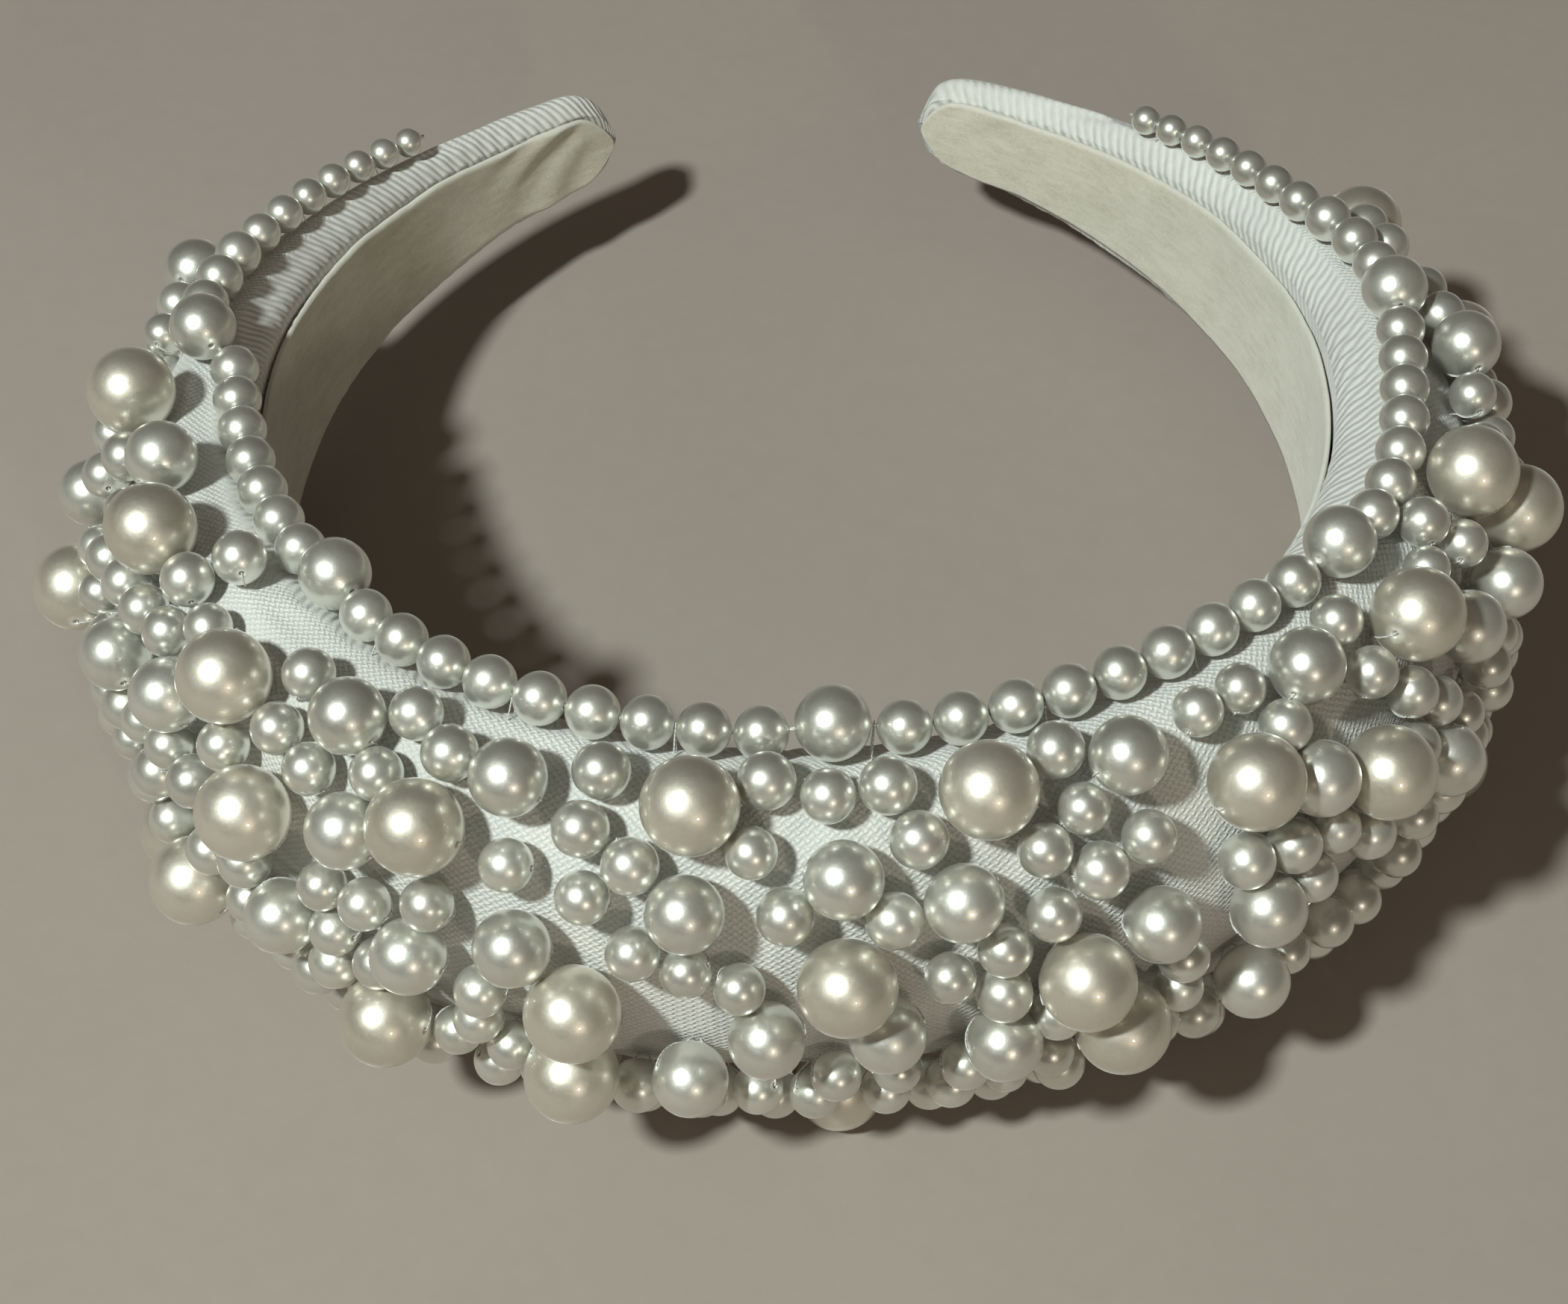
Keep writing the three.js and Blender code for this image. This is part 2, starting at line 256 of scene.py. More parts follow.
# -------- meshes
def mesh_piece(name, points, faces, material, marks=None, replaces=()):
    """A smooth-shaded piece that rides on the headband, with its named marks on its points."""
    mesh = bpy.data.meshes.new(name)
    mesh.from_pydata(np.asarray(points, float).tolist(), [], [tuple(f) for f in faces])
    mesh.validate()
    for label, values in (marks or {}).items():
        values = np.asarray(values, np.float32)
        if values.ndim == 1:
            mesh.attributes.new(label, "FLOAT", "POINT").data.foreach_set("value", values)
        else:
            mark = mesh.attributes.new(label, "FLOAT_VECTOR", "POINT")
            mark.data.foreach_set("vector", values.ravel())
    mesh.polygons.foreach_set("use_smooth", [True] * len(mesh.polygons))
    mesh.update()
    piece = bpy.data.objects.new(name, mesh)
    bpy.context.scene.collection.objects.link(piece)
    mesh.materials.append(material)
    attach(piece, "root")
    if replaces:
        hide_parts(*replaces)
    return piece


def ring_quads(rings, count):
    """The four points of each quad between closed rings of points, in order round it."""
    ring = np.arange(rings - 1)[:, None] * count
    here = ring + np.arange(count)[None, :]
    beside = ring + (np.arange(count)[None, :] + 1) % count
    return here, beside, beside + count, here + count


def ring_faces(rings, count):
    """Quads between closed rings of points, with the first and last rings capped."""
    quads = np.stack(ring_quads(rings, count), axis=-1).reshape(-1, 4)
    first = list(range(count))[::-1]
    last = list(range((rings - 1) * count, rings * count))
    return quads.tolist() + [first, last]


def catmull(a, b, c, d, t):
    """A smooth step from b to c, between the neighbours a and d."""
    return 0.5 * (2 * b + (c - a) * t + (2 * a - 5 * b + 4 * c - d) * t**2
                  + (3 * b - a - 3 * c + d) * t**3)


def smooth_path(points, steps):
    """A rounder path through the given points."""
    points = np.asarray(points, float)
    padded = np.vstack([2 * points[0] - points[1], points, 2 * points[-1] - points[-2]])
    path = []
    for a, b, c, d in zip(padded, padded[1:], padded[2:], padded[3:]):
        path += [catmull(a, b, c, d, t) for t in np.arange(steps) / steps]
    return np.array(path + [points[-1]])


def tube(path, radius, sides):
    """Points and faces of a solid thread along a path."""
    ahead = np.gradient(path, axis=0)
    ahead /= np.linalg.norm(ahead, axis=1)[:, None]
    side = np.cross(ahead[0], [0.31, 0.22, 0.92])
    angle = np.arange(sides)[:, None] * 2 * math.pi / sides
    rings = []
    for point, way in zip(path, ahead):
        side = unit(side - way * (side @ way))
        rings.append(point + radius * (np.cos(angle) * side + np.sin(angle) * np.cross(way, side)))
    return np.vstack(rings), ring_faces(len(path), sides)


def joined(parts):
    """One set of points and faces from several."""
    points, faces, start = [], [], 0
    for part_points, part_faces in parts:
        points.append(part_points)
        faces += [[i + start for i in face] for face in part_faces]
        start += len(part_points)
    return np.vstack(points), faces


# -------- node helpers
def new_node(tree, kind, inputs=None, **settings):
    """A node with its settings, whose inputs are joined to sockets or set to values."""
    node = tree.nodes.new(kind)
    for name, value in settings.items():
        setattr(node, name, value)
    for key, value in (inputs or {}).items():
        if isinstance(value, bpy.types.NodeSocket):
            tree.links.new(value, node.inputs[key])
        else:
            node.inputs[key].default_value = value
    return node


def calc(tree, operation, a, b=0.0, c=0.0):
    """One sum on numbers or sockets."""
    return new_node(tree, "ShaderNodeMath", {0: a, 1: b, 2: c}, operation=operation).outputs[0]


def vector_calc(tree, operation, inputs):
    return new_node(tree, "ShaderNodeVectorMath", inputs, operation=operation).outputs[0]


def blend_colour(tree, share, a, b):
    """From colour a to colour b, by share."""
    return new_node(tree, "ShaderNodeMix", {0: share, 6: a, 7: b}, data_type="RGBA").outputs[2]


def remap(tree, value, low, high, to_low, to_high):
    """A value's range laid out over another one, and kept within it."""
    return new_node(
        tree, "ShaderNodeMapRange", {0: value, 1: low, 2: high, 3: to_low, 4: to_high}
    ).outputs[0]


def noise(tree, place_socket, scale, detail=3.0, roughness=0.55, distortion=0.0):
    return new_node(
        tree,
        "ShaderNodeTexNoise",
        {"Vector": place_socket, "Scale": scale, "Detail": detail, "Roughness": roughness,
         "Distortion": distortion},
    ).outputs[0]


def new_group(name, inputs, outputs):
    """A shader node group with named sockets. Returns it with its input and output nodes."""
    group = bpy.data.node_groups.new(name, "ShaderNodeTree")
    kinds = {"value": "NodeSocketFloat", "place": "NodeSocketVector"}
    for label, kind, value in inputs:
        socket = group.interface.new_socket(label, in_out="INPUT", socket_type=kinds[kind])
        if value is not None:
            socket.default_value = value
    for label, kind in outputs:
        group.interface.new_socket(label, in_out="OUTPUT", socket_type=kinds[kind])
    return group, group.nodes.new("NodeGroupInput"), group.nodes.new("NodeGroupOutput")


def use_group(tree, group, **inputs):
    node = tree.nodes.new("ShaderNodeGroup")
    node.node_tree = group
    for key, value in inputs.items():
        label = key.replace("_", " ")
        if isinstance(value, bpy.types.NodeSocket):
            tree.links.new(value, node.inputs[label])
        else:
            node.inputs[label].default_value = value
    return node


def new_material(name, **constants):
    """A material with its Principled shader, whose constant values are set on it."""
    material = bpy.data.materials.new(name)
    material.use_nodes = True
    tree = material.node_tree
    shader = tree.nodes["Principled BSDF"]
    for label, value in constants.items():
        shader.inputs[label.replace("_", " ")].default_value = value
    return material, tree, shader


def feed(tree, shader, **varied):
    """Joins what varies over the surface to the shader."""
    for label, socket in varied.items():
        tree.links.new(socket, shader.inputs[label.replace("_", " ")])


def relief(tree, shader, height, strength, depth):
    """Fine relief on the shader, with depth in metres."""
    bump = new_node(
        tree, "ShaderNodeBump", {"Height": height, "Strength": strength, "Distance": depth}
    )
    feed(tree, shader, Normal=bump.outputs[0])


def in_space(tree):
    """The place of each point, in metres."""
    return new_node(tree, "ShaderNodeTexCoord").outputs["Object"]


def mark(tree, label, output="Fac"):
    """A named mark that the piece carries on its points."""
    return new_node(tree, "ShaderNodeAttribute", attribute_name=label).outputs[output]


# -------- shared effects
def build_mottle():
    """Soft uneven patches at two sizes, from 0 to 1."""
    group, take, give = new_group(
        "Mottle",
        [("Place", "place", None), ("Patch", "value", 60.0), ("Grain", "value", 900.0),
         ("Grain Share", "value", 0.4)],
        [("Mask", "value")],
    )
    patches = noise(group, take.outputs["Place"], take.outputs["Patch"], 3)
    grain = noise(group, take.outputs["Place"], take.outputs["Grain"], 2)
    mixed = new_node(
        group, "ShaderNodeMix", {0: take.outputs["Grain Share"], 2: patches, 3: grain},
        data_type="FLOAT",
    ).outputs[0]
    stretched = remap(group, mixed, 0.3, 0.7, 0.0, 1.0)
    group.links.new(stretched, give.inputs["Mask"])
    return group


def build_weave():
    """A plain weave of round threads: its relief, and where the spaces between threads are, to be darkened
    there as painted shade.
    """
    group, take, give = new_group(
        "Woven Threads",
        [("Place", "place", None), ("Threads per Metre", "value", 2100.0), ("Waver", "value", 0.3)],
        [("Relief", "value"), ("Gaps", "value")],
    )
    drift = new_node(
        group, "ShaderNodeTexNoise",
        {"Vector": take.outputs["Place"], "Scale": 420.0, "Detail": 2.0},
    ).outputs["Color"]
    moved = vector_calc(group, "SUBTRACT", {0: drift, 1: (0.5, 0.5, 0.5)})
    waver = vector_calc(group, "SCALE", {0: moved, 3: take.outputs["Waver"]})
    count = take.outputs["Threads per Metre"]
    counted = vector_calc(group, "SCALE", {0: take.outputs["Place"], 3: count})
    spot = vector_calc(group, "ADD", {0: counted, 1: waver})
    apart = new_node(group, "ShaderNodeSeparateXYZ", {0: spot})
    # The threads lie across the band at a slant, so the dots stand in staggered rows.
    one = calc(group, "ADD", apart.outputs[0], apart.outputs[1])
    two = calc(group, "SUBTRACT", apart.outputs[0], apart.outputs[1])
    warp = calc(group, "SINE", calc(group, "MULTIPLY", one, math.pi))
    weft = calc(group, "SINE", calc(group, "MULTIPLY", two, math.pi))
    over = calc(group, "MULTIPLY_ADD", calc(group, "MULTIPLY", warp, weft), 0.5, 0.5)
    warp_height = calc(group, "MULTIPLY", calc(group, "ABSOLUTE", warp), over)
    under = calc(group, "SUBTRACT", 1.0, over)
    weft_height = calc(group, "MULTIPLY", calc(group, "ABSOLUTE", weft), under)
    height = calc(group, "MAXIMUM", warp_height, weft_height)
    gap_shade = remap(group, height, 0.12, 0.45, 1.0, 0.0)
    group.links.new(height, give.inputs["Relief"])
    group.links.new(gap_shade, give.inputs["Gaps"])
    return group


def build_ribs():
    """Fine slanting ribs, as cloth shows where it is pulled round an edge."""
    group, take, give = new_group(
        "Gathered Ribs",
        [("Place", "place", None), ("Ribs per Metre", "value", 1050.0), ("Slant", "value", 0.45),
         ("Waver", "value", 1.0)],
        [("Relief", "value")],
    )
    apart = new_node(group, "ShaderNodeSeparateXYZ", {0: take.outputs["Place"]})
    slanted = calc(
        group, "MULTIPLY_ADD", apart.outputs[1], take.outputs["Slant"], apart.outputs[0]
    )
    drift = noise(group, take.outputs["Place"], 160.0, 2)
    phase = calc(group, "MULTIPLY", slanted, take.outputs["Ribs per Metre"])
    phase = calc(group, "MULTIPLY_ADD", drift, take.outputs["Waver"], phase)
    wave = calc(group, "SINE", calc(group, "MULTIPLY", phase, 2 * math.pi))
    relief_value = remap(group, wave, -1.0, 1.0, 0.0, 1.0)
    group.links.new(relief_value, give.inputs["Relief"])
    return group


MOTTLE, WEAVE, RIBS = build_mottle(), build_weave(), build_ribs()


# -------- materials
def pearl_material(name, deep, light, roughness):
    """Lacquered pearl coating: a silky body under a clear gloss, duller where it is worn."""
    material, tree, shader = new_material(
        name, Coat_Weight=0.9, Coat_Roughness=0.05, Coat_IOR=1.5, Specular_IOR_Level=0.6,
        Sheen_Weight=0.3, Sheen_Roughness=0.3, IOR=1.55,
    )
    tone = mark(tree, "tone")
    worn = mark(tree, "worn")
    mottle = use_group(tree, MOTTLE, Place=in_space(tree), Patch=240.0, Grain=2600.0, Grain_Share=0.3)
    own_shade = calc(tree, "MULTIPLY", tone, 0.65)
    shade = calc(tree, "MULTIPLY_ADD", mottle.outputs["Mask"], 0.35, own_shade)
    body = blend_colour(tree, shade, deep, light)
    swirl = noise(tree, in_space(tree), 420.0, 4, 0.6, 1.8)
    lustre = remap(tree, swirl, 0.42, 0.6, 0.0, 0.16)
    body = blend_colour(tree, lustre, body, (0.93, 0.9, 0.86, 1))
    flakes = remap(tree, noise(tree, in_space(tree), 1500.0, 3), 0.35, 0.6, 0.4, 1.0)
    chipped = calc(tree, "MULTIPLY", worn, flakes)
    body = blend_colour(tree, chipped, body, (0.9, 0.89, 0.85, 1))
    dull = remap(tree, mottle.outputs["Mask"], 0.0, 1.0, roughness - 0.04, roughness + 0.06)
    dull = calc(tree, "MULTIPLY_ADD", chipped, 0.35, dull)
    metal = calc(tree, "MULTIPLY_ADD", chipped, -0.7, 0.82)
    lacquer = remap(tree, chipped, 0.0, 1.0, 0.9, 0.1)
    feed(tree, shader, Base_Color=body, Roughness=dull, Metallic=metal, Coat_Weight=lacquer)
    skin = noise(tree, in_space(tree), 700.0, 5, 0.6)
    relief(tree, shader, calc(tree, "MULTIPLY_ADD", chipped, -0.5, skin), 0.16, 0.0002)
    return material


def cloth_material():
    """Ivory cloth: dotted weave over the pad, gathered ribs where it turns round the edges, with painted
    shade between its threads and in its rib hollows.
    """
    material, tree, shader = new_material(
        "Ivory Woven Cloth", Sheen_Weight=0.35, Sheen_Roughness=0.4, Specular_IOR_Level=0.35,
    )
    spot = mark(tree, "cloth_place", "Vector")
    edge = mark(tree, "gathered")
    weave = use_group(tree, WEAVE, Place=spot, Threads_per_Metre=1250.0, Waver=0.35)
    ribs = use_group(tree, RIBS, Place=spot, Ribs_per_Metre=820.0, Slant=0.55, Waver=0.6)
    mottle = use_group(tree, MOTTLE, Place=in_space(tree), Patch=90.0, Grain=1400.0, Grain_Share=0.3)
    colour = blend_colour(tree, mottle.outputs["Mask"], (0.72, 0.72, 0.7, 1), (0.83, 0.84, 0.81, 1))
    # Painted shade: the cloth is darker between its threads, where the weave dips.
    gap_shade = calc(tree, "MULTIPLY", weave.outputs["Gaps"], calc(tree, "SUBTRACT", 1.0, edge))
    colour = blend_colour(tree, calc(tree, "MULTIPLY", gap_shade, 0.55), colour, (0.47, 0.46, 0.42, 1))
    # Painted shade: the gathered edges are darker in the hollows between their ribs.
    trough_shade = calc(tree, "MULTIPLY", remap(tree, ribs.outputs["Relief"], 0.0, 0.45, 1.0, 0.0), edge)
    colour = blend_colour(tree, calc(tree, "MULTIPLY", trough_shade, 0.28), colour, (0.48, 0.48, 0.45, 1))
    soil = remap(tree, noise(tree, in_space(tree), 35.0, 4), 0.5, 0.72, 0.0, 0.18)
    colour = blend_colour(tree, soil, colour, (0.66, 0.61, 0.5, 1))
    dull = remap(tree, weave.outputs["Relief"], 0.0, 1.0, 0.82, 0.58)
    feed(tree, shader, Base_Color=colour, Roughness=dull)
    woven = calc(tree, "MULTIPLY", weave.outputs["Relief"], calc(tree, "SUBTRACT", 1.0, edge))
    ribbed = calc(tree, "MULTIPLY_ADD", ribs.outputs["Relief"], edge, woven)
    fine = noise(tree, spot, 5200.0, 2)
    relief(tree, shader, calc(tree, "MULTIPLY_ADD", fine, 0.2, ribbed), 0.75, 0.00022)
    return material


def suede_material():
    """Cream suede: a brushed nap in soft patches, paler along its cut edge."""
    material, tree, shader = new_material(
        "Cream Suede", Sheen_Weight=0.6, Sheen_Roughness=0.55, Specular_IOR_Level=0.2,
    )
    spot = mark(tree, "cloth_place", "Vector")
    cut = mark(tree, "cut_edge")
    rubbed = mark(tree, "rubbed")
    nap = use_group(tree, MOTTLE, Place=in_space(tree), Patch=130.0, Grain=2400.0, Grain_Share=0.45)
    combed = vector_calc(tree, "MULTIPLY", {0: spot, 1: (260.0, 900.0, 1.0)})
    brushed = noise(tree, combed, 1.0, 5, 0.62, 0.6)
    colour = blend_colour(tree, nap.outputs["Mask"], (0.55, 0.52, 0.4, 1), (0.78, 0.75, 0.63, 1))
    strokes = remap(tree, brushed, 0.4, 0.64, 0.0, 0.5)
    colour = blend_colour(tree, strokes, colour, (0.84, 0.81, 0.7, 1))
    colour = blend_colour(tree, calc(tree, "MULTIPLY", cut, 0.6), colour, (0.88, 0.87, 0.8, 1))
    patches = remap(tree, noise(tree, spot, 190.0, 3, 0.5, 0.8), 0.4, 0.6, 0.0, 1.0)
    shiny = calc(tree, "MULTIPLY", rubbed, patches)
    dull = remap(tree, brushed, 0.3, 0.7, 0.98, 0.8)
    feed(tree, shader, Base_Color=colour, Roughness=calc(tree, "MULTIPLY_ADD", shiny, -0.48, dull))
    fuzz = noise(tree, in_space(tree), 6500.0, 4, 0.7)
    height = calc(tree, "MULTIPLY_ADD", brushed, 0.6, calc(tree, "MULTIPLY", fuzz, 0.55))
    relief(tree, shader, height, 0.7, 0.00028)
    return material


def thread_material():
    """White sewing thread with its twist, and painted shade in the grooves of the twist."""
    material, tree, shader = new_material(
        "White Sewing Thread", Sheen_Weight=0.2, Specular_IOR_Level=0.4,
    )
    spot = in_space(tree)
    twist = new_node(
        tree, "ShaderNodeTexWave",
        {"Vector": spot, "Scale": 900.0, "Distortion": 3.0, "Detail": 2.0, "Detail Scale": 2.0},
        bands_direction="DIAGONAL",
    ).outputs["Fac"]
    # Painted shade: the thread is darker in the grooves of its twist.
    colour = blend_colour(tree, twist, (0.6, 0.59, 0.55, 1), (0.86, 0.86, 0.84, 1))
    feed(tree, shader, Base_Color=colour, Roughness=remap(tree, twist, 0.0, 1.0, 0.7, 0.5))
    relief(tree, shader, twist, 0.5, 0.0001)
    return material


def foam_material():
    """Soft open-cell foam."""
    material, tree, shader = new_material("Soft Foam", Specular_IOR_Level=0.2)
    cells = new_node(tree, "ShaderNodeTexVoronoi", {"Vector": in_space(tree), "Scale": 1500.0})
    wall = cells.outputs["Distance"]
    lit = remap(tree, wall, 0.1, 0.7, 0.0, 1.0)
    colour = blend_colour(tree, lit, (0.62, 0.58, 0.46, 1), (0.86, 0.83, 0.72, 1))
    feed(tree, shader, Base_Color=colour, Roughness=remap(tree, wall, 0.0, 0.8, 1.0, 0.8))
    relief(tree, shader, wall, 0.8, 0.0004)
    return material


def core_material():
    """Moulded plastic strip with faint flow lines and a fine grain."""
    material, tree, shader = new_material("Moulded Plastic Core", Specular_IOR_Level=0.45)
    flow = noise(tree, in_space(tree), 90.0, 3, 0.5, 1.5)
    colour = blend_colour(tree, flow, (0.72, 0.7, 0.64, 1), (0.82, 0.8, 0.75, 1))
    feed(tree, shader, Base_Color=colour, Roughness=remap(tree, flow, 0.3, 0.7, 0.38, 0.55))
    relief(tree, shader, noise(tree, in_space(tree), 2200.0, 3), 0.25, 0.0001)
    return material


LARGE_PEARL = pearl_material("Warm Pearl Coating", (0.7, 0.66, 0.56, 1), (0.87, 0.83, 0.73, 1), 0.42)
PEARL = pearl_material("Silvery Pearl Coating", (0.68, 0.68, 0.62, 1), (0.87, 0.88, 0.82, 1), 0.37)
CLOTH, SUEDE, THREAD = cloth_material(), suede_material(), thread_material()
FOAM, CORE = foam_material(), core_material()


# -------- where each pearl sits
class Pearl:
    """A pearl's size letter, radius and centre, its place on the band and its CAD node's name."""

    def __init__(self, size, radius, centre, distance, angle, node=None):
        self.size, self.radius, self.centre = size, radius, np.asarray(centre, float)
        self.distance, self.angle, self.node = distance, angle, node
        self.axis = None


def edge_seats(side):
    """One half of the edge strand, each pearl touching the last but for a small gap."""
    pearls, distance, tips = [], 0.0, 0
    for letter in UPPER_EDGE:
        radius = {"M": EDGE_MEDIUM, "S": SMALL, "T": TIP_FIRST - TIP_STEP * tips}[letter] / 2
        tips += letter == "T"

        def at(s):
            return seat(side * s, profile(EDGE_ANGLES, side * s), radius)

        if pearls:
            before = pearls[-1]
            close = letter == "S" and before.size == "S"
            apart = before.radius + radius + (EDGE_GAP if close else EDGE_GAP_WIDE)
            start, distance = distance, distance + apart
            for _ in range(8):
                reach = np.linalg.norm(at(distance) - before.centre)
                distance = start + (distance - start) * apart / reach
        angle = float(profile(EDGE_ANGLES, side * distance))
        pearls.append(Pearl(letter, radius, at(distance), side * distance, angle))
    return pearls


def edge_strand():
    """The whole edge strand from tip to tip, each pearl's hole in line with its neighbours."""
    pearls = edge_seats(-1)[1:][::-1] + edge_seats(1)
    for i, pearl in enumerate(pearls):
        before, after = pearls[max(i - 1, 0)], pearls[min(i + 1, len(pearls) - 1)]
        pearl.axis = unit(after.centre - before.centre)
    return pearls


# A grid of places on the band, among which each packed pearl's own place is looked up.
LOOK_S, LOOK_A = np.meshgrid(np.arange(-150, 151, 2.0), np.arange(-100, 101, 4.0), indexing="ij")


def cad_pearl(node, radius, size):
    """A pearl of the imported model, with its place on the band found again."""
    centre = in_band(centre_of(node))
    away = np.linalg.norm(seat(LOOK_S, LOOK_A, radius) - centre, axis=-1)
    i = np.unravel_index(away.argmin(), away.shape)
    return Pearl(size, radius, centre, LOOK_S[i], LOOK_A[i], node)


def slide(pearl, step):
    """Moves a pearl over the cover by a small step in space."""
    at = seat(pearl.distance, pearl.angle, pearl.radius)
    along = seat(pearl.distance + 1, pearl.angle, pearl.radius) - at
    round_it = seat(pearl.distance, pearl.angle + 1, pearl.radius) - at
    pearl.distance += step @ along / (along @ along)
    pearl.angle += step @ round_it / (round_it @ round_it)
    pearl.centre = seat(pearl.distance, pearl.angle, pearl.radius)


def chart_pearls(chart):
    """The small pearls that a beading chart shows."""
    found = []
    for row, letters in enumerate(chart):
        for column, letter in enumerate(letters):
            if letter == "S":
                distance = (column - CHART_MIDDLE) * CHART_COLUMN
                angle = CHART_TOP - row * CHART_ROW
                radius = (SMALL + rng.choice([-0.3, 0.0, 0.0, 0.3])) / 2
                found.append(Pearl("S", radius, seat(distance, angle, radius), distance, angle))
    return found


def settle(moving, fixed):
    """Pushes pearls apart until each only just clears the others. The fixed ones stay."""
    for _ in range(SETTLE_ROUNDS):
        for pearl in moving:
            others = [p for p in moving if p is not pearl] + fixed
            centres = np.array([p.centre for p in others])
            radii = np.array([p.radius for p in others])
            apart = pearl.centre - centres
            far = np.linalg.norm(apart, axis=1)
            short = pearl.radius + radii + PEARL_GAP - far
            for i in np.flatnonzero(short > 0.01):
                slide(pearl, apart[i] / max(far[i], 1e-6) * short[i] * SETTLE_SHARE)


def fill_room(pearls, side, start, end, low, high, room, tries):
    """Small pearls wherever one fits close to its neighbours."""
    distance = side * rng.uniform(start, end, tries)
    angle = rng.uniform(low, high, tries)
    radius = (SMALL + rng.choice([-0.5, -0.2, 0.0, 0.0, 0.2], tries)) / 2
    centres = on_cover(distance, angle, radius + SEAT_GAP)
    above = laid_down(centres)[:, 2] / METRES - radius
    held = np.array([p.centre for p in pearls])
    radii = np.array([p.radius for p in pearls])
    added = []
    for i in range(tries):
        free = (np.linalg.norm(held - centres[i], axis=1) - radii).min() - radius[i]
        if room[0] <= free <= room[1] and above[i] > TABLE_GAP:
            added.append(Pearl("S", radius[i], centres[i], distance[i], angle[i]))
            held = np.vstack([held, centres[i]])
            radii = np.append(radii, radius[i])
    return added


strand = edge_strand()
sewn = []
for node in sorted(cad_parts):
    if node.startswith("large_pearl"):
        sewn.append(cad_pearl(node, LARGE / 2, "L"))
    elif node.startswith("medium_pearl"):
        sewn.append(cad_pearl(node, MEDIUM / 2, "M"))
placed = chart_pearls(SMALL_CHART)
settle(placed, sewn + strand)
small = list(placed)
for filled in FILLED:
    small += fill_room(sewn + strand + small, **filled)

# A pearl is sewn through its hole, which lies flat along the cloth: level at the crown and
# leaning more and more towards the sides, as the band was turned while it was sewn.
for pearl in sewn + small:
    along, round_it, out = directions(pearl.distance, pearl.angle)
    lean = min(max(pearl.distance, -LEAN_UP_TO), LEAN_UP_TO) * LEAN_PER_MM
    turn = math.radians(lean) + rng.normal(0, LEAN_UNEVEN)
    flat = along * math.cos(turn) + round_it * math.sin(turn)
    pearl.axis = unit(flat + out * rng.uniform(-0.12, 0.12))


# -------- pearls
BEAD_ROUND, BEAD_STEPS = 36, 22
OUT_OF_ROUND, LUMPS = 0.008, 0.004
# A hole's radius is a share of its pearl's radius, and its brim's is a multiple of its own.
HOLE = {"L": 0.075, "M": 0.085, "S": 0.105, "T": 0.115}
BRIM_START, BRIM_INSIDE = 1.4, 1.16


def bead_outline(hole):
    """Half section of a drilled pearl of radius 1: distance off its hole's line, and height."""
    start = math.asin(hole * BRIM_START)
    outline = [(math.sin(a), math.cos(a)) for a in np.linspace(start, math.pi - start, BEAD_STEPS)]
    brim = math.sqrt(1 - hole * hole)
    low = [(hole * BRIM_INSIDE, -brim + 0.004), (hole, -brim + 0.05), (hole, -0.4)]
    return np.array(outline + low + [(r, -z) for r, z in low[::-1]])


def bead(pearl):
    """Points, faces, tone and wear of one drilled pearl, a little out of round."""
    outline = bead_outline(HOLE[pearl.size])
    turn = np.arange(BEAD_ROUND) * 2 * math.pi / BEAD_ROUND
    rho, height = outline[:, 0][:, None], outline[:, 1][:, None] + 0 * turn[None, :]
    points = np.stack([rho * np.cos(turn), rho * np.sin(turn), height], axis=-1)
    squash = 1 + rng.uniform(-OUT_OF_ROUND, OUT_OF_ROUND, 3)
    bumps = np.sin(2 * points[..., 0] + rng.uniform(0, 6)) * np.cos(3 * points[..., 2])
    points = points * squash * (1 + LUMPS * bumps)[..., None] * pearl.radius
    z = pearl.axis
    x = unit(np.cross(z, [0.3, 0.5, 0.8]))
    y = np.cross(z, x)
    points = pearl.centre + points @ np.array([x, y, z])
    steps = len(outline)
    a, b, c, d = (corner % (steps * BEAD_ROUND) for corner in ring_quads(steps + 1, BEAD_ROUND))
    faces = np.stack([a, d, c, b], axis=-1).reshape(-1, 4)
    hole = HOLE[pearl.size]
    near = np.clip(1 - (rho - hole) / (hole * rng.uniform(0.5, 1.6)), 0, 1)
    near[BEAD_STEPS:] = 1
    worn = np.repeat(near, BEAD_ROUND, axis=1).ravel()
    tone = np.full(steps * BEAD_ROUND, rng.uniform(0, 1))
    return points.reshape(-1, 3), faces.tolist(), tone, worn


def pearl_piece(name, pearls, material, replaces=()):
    """One piece of one pearl or more, each with its own tone and wear."""
    parts = [bead(pearl) for pearl in pearls]
    points, faces = joined([part[:2] for part in parts])
    tones, wear = [part[2] for part in parts], [part[3] for part in parts]
    marks = {"tone": np.concatenate(tones), "worn": np.concatenate(wear)}
    mesh_piece(name, laid_down(points), faces, material, marks, replaces)


for pearl in sewn:
    material, slot = (LARGE_PEARL, "large_pearl") if pearl.size == "L" else (PEARL, "pearl")
    pearl_piece(f"sewn_{pearl.node}", [pearl], material, [pearl.node])
pearl_piece("strand_pearls", strand, PEARL, ["upper_edge_strand"])
# The small pearls are kept together by the stretch of the band that they are sewn on.
STRETCH, FIRST_STRETCH = 24.0, -132
stretches = {}
for pearl in small:
    stretches.setdefault(int((pearl.distance - FIRST_STRETCH) // STRETCH), []).append(pearl)
for number, group in sorted(stretches.items()):
    pearl_piece(f"small_pearls_{number:02d}", group, PEARL)


